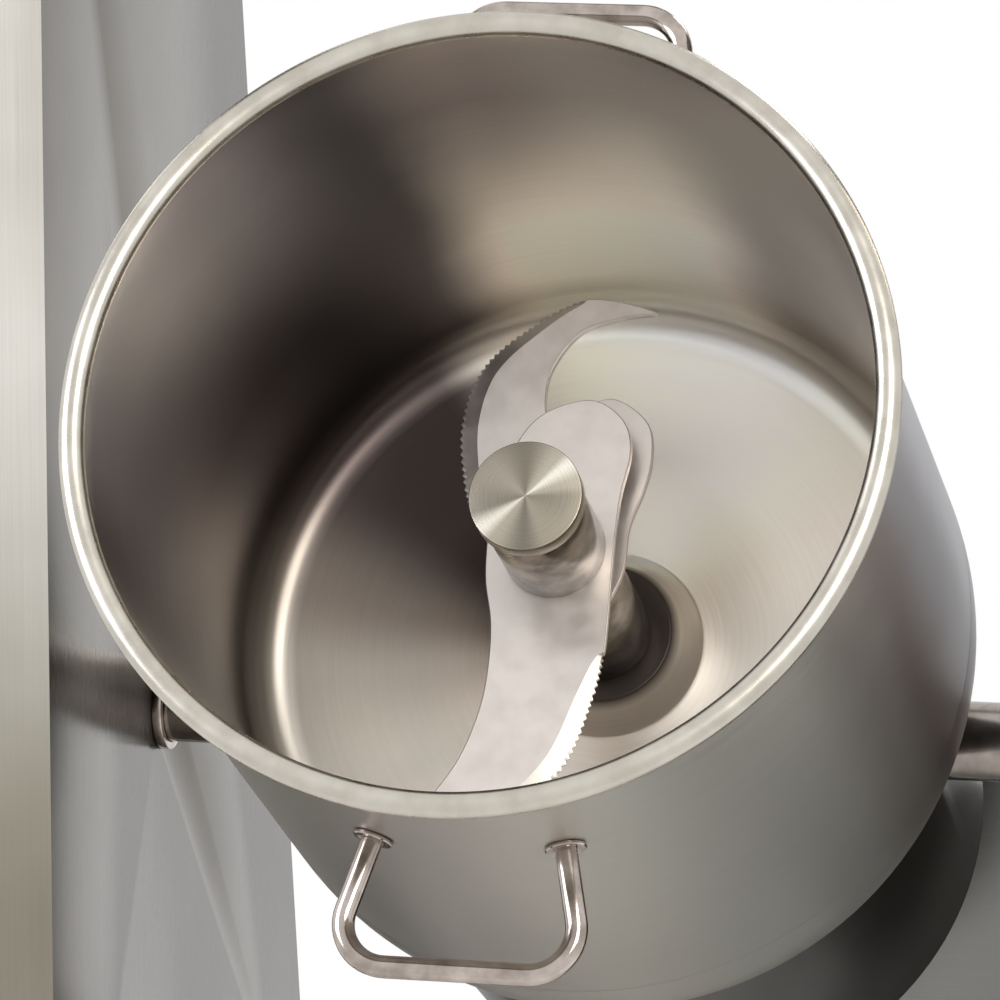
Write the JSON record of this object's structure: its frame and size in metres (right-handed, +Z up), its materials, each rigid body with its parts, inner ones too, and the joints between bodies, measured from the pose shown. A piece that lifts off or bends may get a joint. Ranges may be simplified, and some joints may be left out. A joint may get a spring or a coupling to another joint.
{
  "type": "vertical cutter mixer",
  "caption": "Floor-standing cutter mixer: a tilting steel bowl with curved toothed blades and a motor below, hung on trunnions between columns, with a hinged lid and scraper.",
  "frame": {"origin": "on the floor, straight below the trunnion axis, midway between the columns", "axes": "+X to the right along the trunnion axis, +Y to the back, +Z up; the bowl is stored tilted forward"},
  "size_m": [0.8546, 0.9902, 1.6132],
  "materials": {
    "brushed_sheet": "brushed stainless sheet",
    "bowl_steel": "spun and brushed stainless steel",
    "polished_steel": "polished stainless bar and tube",
    "blade_steel": "satin ground blade steel",
    "turned_steel": "lathe turned stainless steel",
    "cast_housing": "painted casting",
    "core_steel": "laminated core steel",
    "winding": "varnished winding",
    "seal_rubber": "moulded rubber",
    "panel_plastic": "moulded panel",
    "black_plastic": "moulded black plastic",
    "white_plastic": "food grade white plastic",
    "green_plastic": "moulded green plastic",
    "red_plastic": "moulded red plastic",
    "grey_enclosure": "painted enclosure"
  },
  "bodies": {
    "frame": {"left_column": "brushed_sheet", "left_side_cover": "brushed_sheet", "right_column": "brushed_sheet", "right_side_cover": "brushed_sheet", "rear_crossbeam": "brushed_sheet", "rear_housing": "brushed_sheet", "foot_pads": "seal_rubber", "foot_studs": "polished_steel", "left_bearing_block": "cast_housing", "right_bearing_block": "cast_housing", "column_collars": "polished_steel", "control_panel": "panel_plastic", "button_bezels": "black_plastic", "switch_blocks": "black_plastic", "contactor_box": "grey_enclosure", "cable_gland": "black_plastic", "lid_brackets": "brushed_sheet", "lid_shaft": "polished_steel", "cover_screws": "polished_steel"},
    "bowl_unit": {"bowl": "bowl_steel", "bowl_skirt": "bowl_steel", "motor_flange": "cast_housing", "motor_housing": "cast_housing", "stator": "winding", "upper_bearing": "turned_steel", "lower_bearing": "turned_steel", "shaft_seal": "seal_rubber", "motor_shroud": "brushed_sheet", "shroud_cover": "brushed_sheet", "left_trunnion": "polished_steel", "right_trunnion": "polished_steel", "lock_rings": "turned_steel", "front_handle": "polished_steel", "rear_handle": "polished_steel", "handle_washers": "polished_steel"},
    "rotor": {"motor_shaft": "turned_steel", "rotor_core": "core_steel", "cooling_fan": "black_plastic", "hub_cap": "turned_steel", "cap_ring": "seal_rubber", "upper_sleeve": "turned_steel", "upper_blade": "blade_steel", "blade_spacer": "turned_steel", "lower_blade": "blade_steel", "lower_sleeve": "turned_steel"},
    "lid_unit": {"lid_arm": "polished_steel", "lid": "bowl_steel", "lid_seal": "seal_rubber", "lid_handle": "polished_steel"},
    "scraper": {"scraper_shaft": "polished_steel", "scraper_arms": "white_plastic", "scraper_crank": "black_plastic"},
    "start_push": {"start_button": "green_plastic"},
    "stop_push": {"stop_button": "red_plastic"},
    "pulse_push": {"pulse_button": "white_plastic"},
    "emergency_push": {"emergency_stop": "red_plastic"},
    "speed_dial": {"speed_knob": "black_plastic"},
    "timer_dial": {"timer_knob": "black_plastic"},
    "brake": {"brake_screw": "turned_steel", "brake_knob": "black_plastic"}
  },
  "joints": [
    {"name": "bowl_tilt", "type": "hinge", "parent": "frame", "child": "bowl_unit", "pos_m": [0, 0, 0.505], "axis": [1, 0, 0], "range_deg": [-60, 45]},
    {"name": "blade_spin", "type": "hinge", "parent": "bowl_unit", "child": "rotor", "pos_m": [0, 0, 0.505], "axis": [0, -0.866, 0.5], "continuous": true},
    {"name": "lid_hinge", "type": "hinge", "parent": "frame", "child": "lid_unit", "pos_m": [0, 0.278, 1.11], "axis": [1, 0, 0], "range_deg": [0, 100]},
    {"name": "scraper_spin", "type": "hinge", "parent": "lid_unit", "child": "scraper", "pos_m": [0, 0.32627, 1.38378], "axis": [0, 0.9848, -0.1736], "continuous": true},
    {"name": "start_press", "type": "slide", "parent": "frame", "child": "start_push", "axis": [0, 1, 0], "range_m": [0, 0.004], "stiffness_N_per_m": 400, "springref_m": -0.002},
    {"name": "stop_press", "type": "slide", "parent": "frame", "child": "stop_push", "axis": [0, 1, 0], "range_m": [0, 0.004], "stiffness_N_per_m": 400, "springref_m": -0.002},
    {"name": "pulse_press", "type": "slide", "parent": "frame", "child": "pulse_push", "axis": [0, 1, 0], "range_m": [0, 0.004], "stiffness_N_per_m": 400, "springref_m": -0.002},
    {"name": "emergency_press", "type": "slide", "parent": "frame", "child": "emergency_push", "axis": [0, 1, 0], "range_m": [0, 0.006]},
    {"name": "speed_turn", "type": "hinge", "parent": "frame", "child": "speed_dial", "pos_m": [-0.3605, -0.25, 1.20025], "axis": [0, -1, 0], "range_deg": [-135, 135]},
    {"name": "timer_turn", "type": "hinge", "parent": "frame", "child": "timer_dial", "pos_m": [-0.3605, -0.25, 1.15125], "axis": [0, -1, 0], "range_deg": [-135, 135]},
    {"name": "brake_turn", "type": "hinge", "parent": "frame", "child": "brake", "pos_m": [0.3255, -0.25, 0.505], "axis": [0, -1, 0], "range_deg": [0, 270]}
  ]
}
